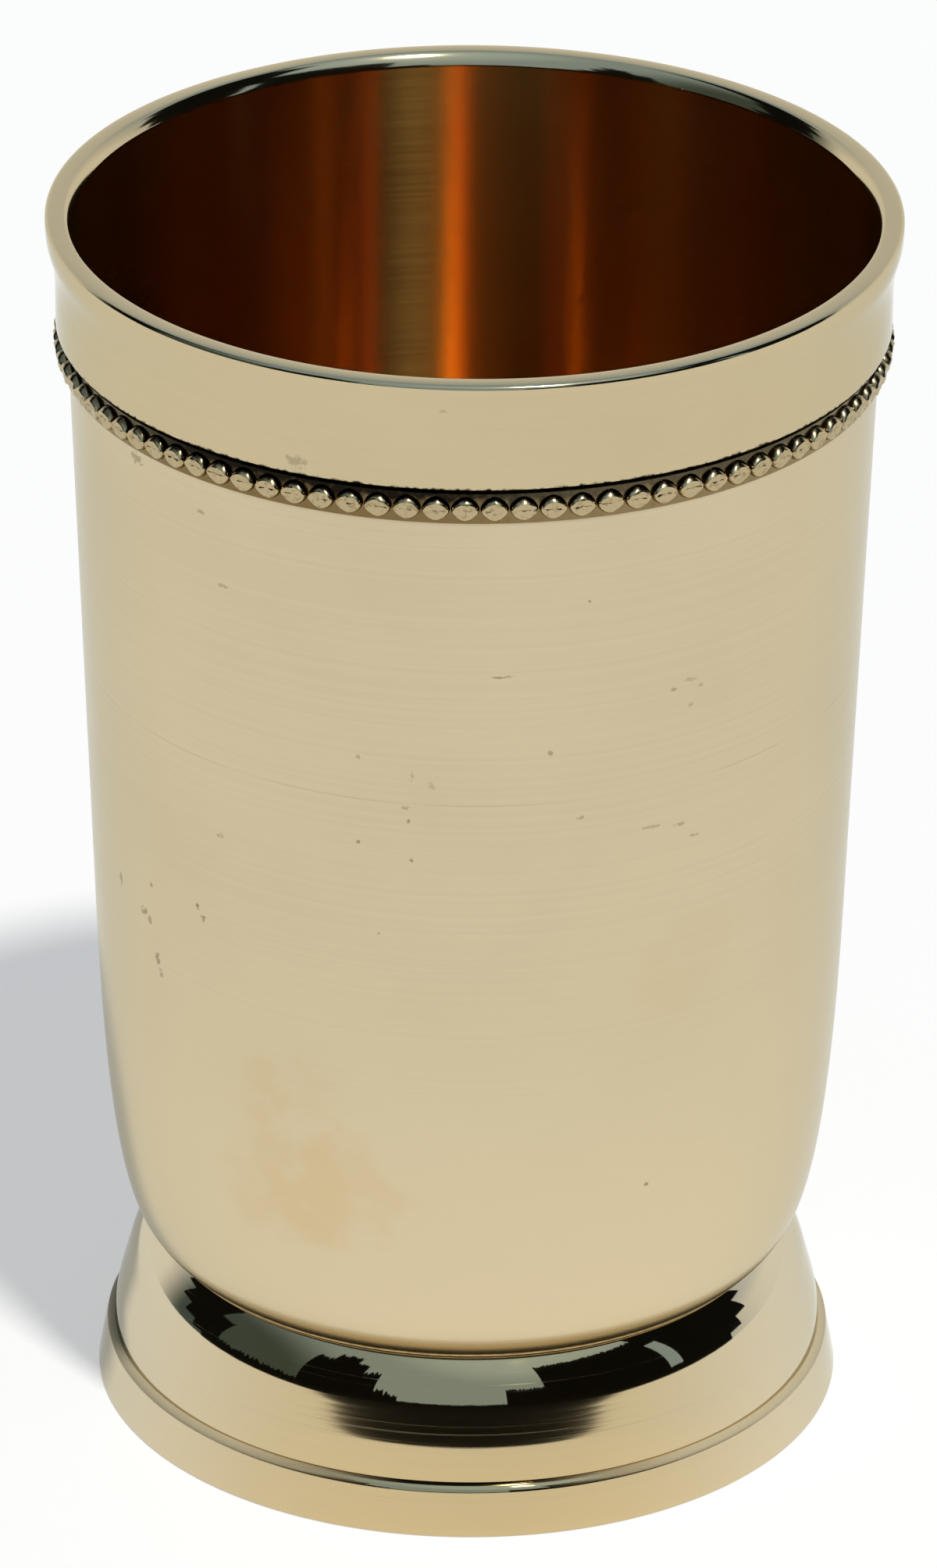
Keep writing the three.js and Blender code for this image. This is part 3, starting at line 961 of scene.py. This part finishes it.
def make_flags():
    chance = random.Random(FLAG_SEED)
    radius = FLAG_RADIUS / MM
    verts = []
    faces = []
    for start, end, foot, top, rough in FLAGS:
        first = len(verts)
        count = round((end - start) / FLAG_STEP) + 1
        for i in range(count):
            turn = math.radians(start + i * FLAG_STEP)
            ragged = math.radians(top + chance.uniform(-rough, rough))
            x = radius * math.sin(turn)
            y = -radius * math.cos(turn)
            verts += [(x, y, radius * math.tan(math.radians(foot))), (x, y, radius * math.tan(ragged))]
        corners = [first + 2 * i for i in range(count)]
        faces += [(a, b, b + 1, a + 1) for a, b in zip(corners, corners[1:])]
    flags = new_piece("dark_flags", verts, faces)
    nodes = unlit("flag_dark")
    nodes.give("Emission Color", (*FLAG_COLOUR, 1))
    flags.data.materials.append(nodes.owner)
    flags.visible_camera = False
    flags.visible_diffuse = False
    flags.visible_shadow = False


def make_world():
    """White behind everything that the camera or the metal sees past the stage."""
    world = bpy.data.worlds.new("white_world")
    nodes = Nodes(world, "Background")
    nodes.give("Color", (1, 1, 1, 1))
    nodes.give("Strength", seen_rays(nodes))
    world.cycles.sampling_method = "NONE"
    bpy.context.scene.world = world


def aim(thing, target, roll=0.0):
    """Turns a lamp or camera to look at a point, rolled about its own axis."""
    direction = Vector(target) - thing.location
    turn = direction.to_track_quat("-Z", "Y").to_matrix().to_4x4()
    turn = turn @ Matrix.Rotation(roll, 4, "Z")
    thing.rotation_euler = turn.to_euler()


def make_sun():
    lamp = bpy.data.lights.new("sun", "SUN")
    lamp.energy = SUN_STRENGTH
    lamp.angle = math.radians(SUN_ANGLE)
    lamp.color = SUN_COLOUR
    sun = bpy.data.objects.new("sun", lamp)
    bpy.context.scene.collection.objects.link(sun)
    sun.location = sun_direction()
    aim(sun, (0, 0, 0))


# Camera: the photograph's elevation, distance, focal length and slight roll
CAMERA_ELEVATION = math.radians(26.34)
CAMERA_DISTANCE = 1.0251
CAMERA_TARGET = (-0.00018, 0, 0.05817)
CAMERA_ROLL = math.radians(0.419)
CAMERA_LENS = 263.4
CAMERA_REACH = 20


def make_camera():
    lens = bpy.data.cameras.new("camera")
    lens.lens = CAMERA_LENS
    lens.clip_end = CAMERA_REACH
    camera = bpy.data.objects.new("camera", lens)
    bpy.context.scene.collection.objects.link(camera)
    camera.location = (
        CAMERA_TARGET[0],
        -CAMERA_DISTANCE * math.cos(CAMERA_ELEVATION),
        CAMERA_TARGET[2] + CAMERA_DISTANCE * math.sin(CAMERA_ELEVATION),
    )
    aim(camera, CAMERA_TARGET, CAMERA_ROLL)
    bpy.context.scene.camera = camera


make_floor()
make_sky()
make_flags()
make_world()
make_sun()
make_camera()

bpy.context.scene.view_settings.view_transform = "Standard"
bpy.context.scene.cycles.glossy_bounces = GLOSSY_BOUNCES
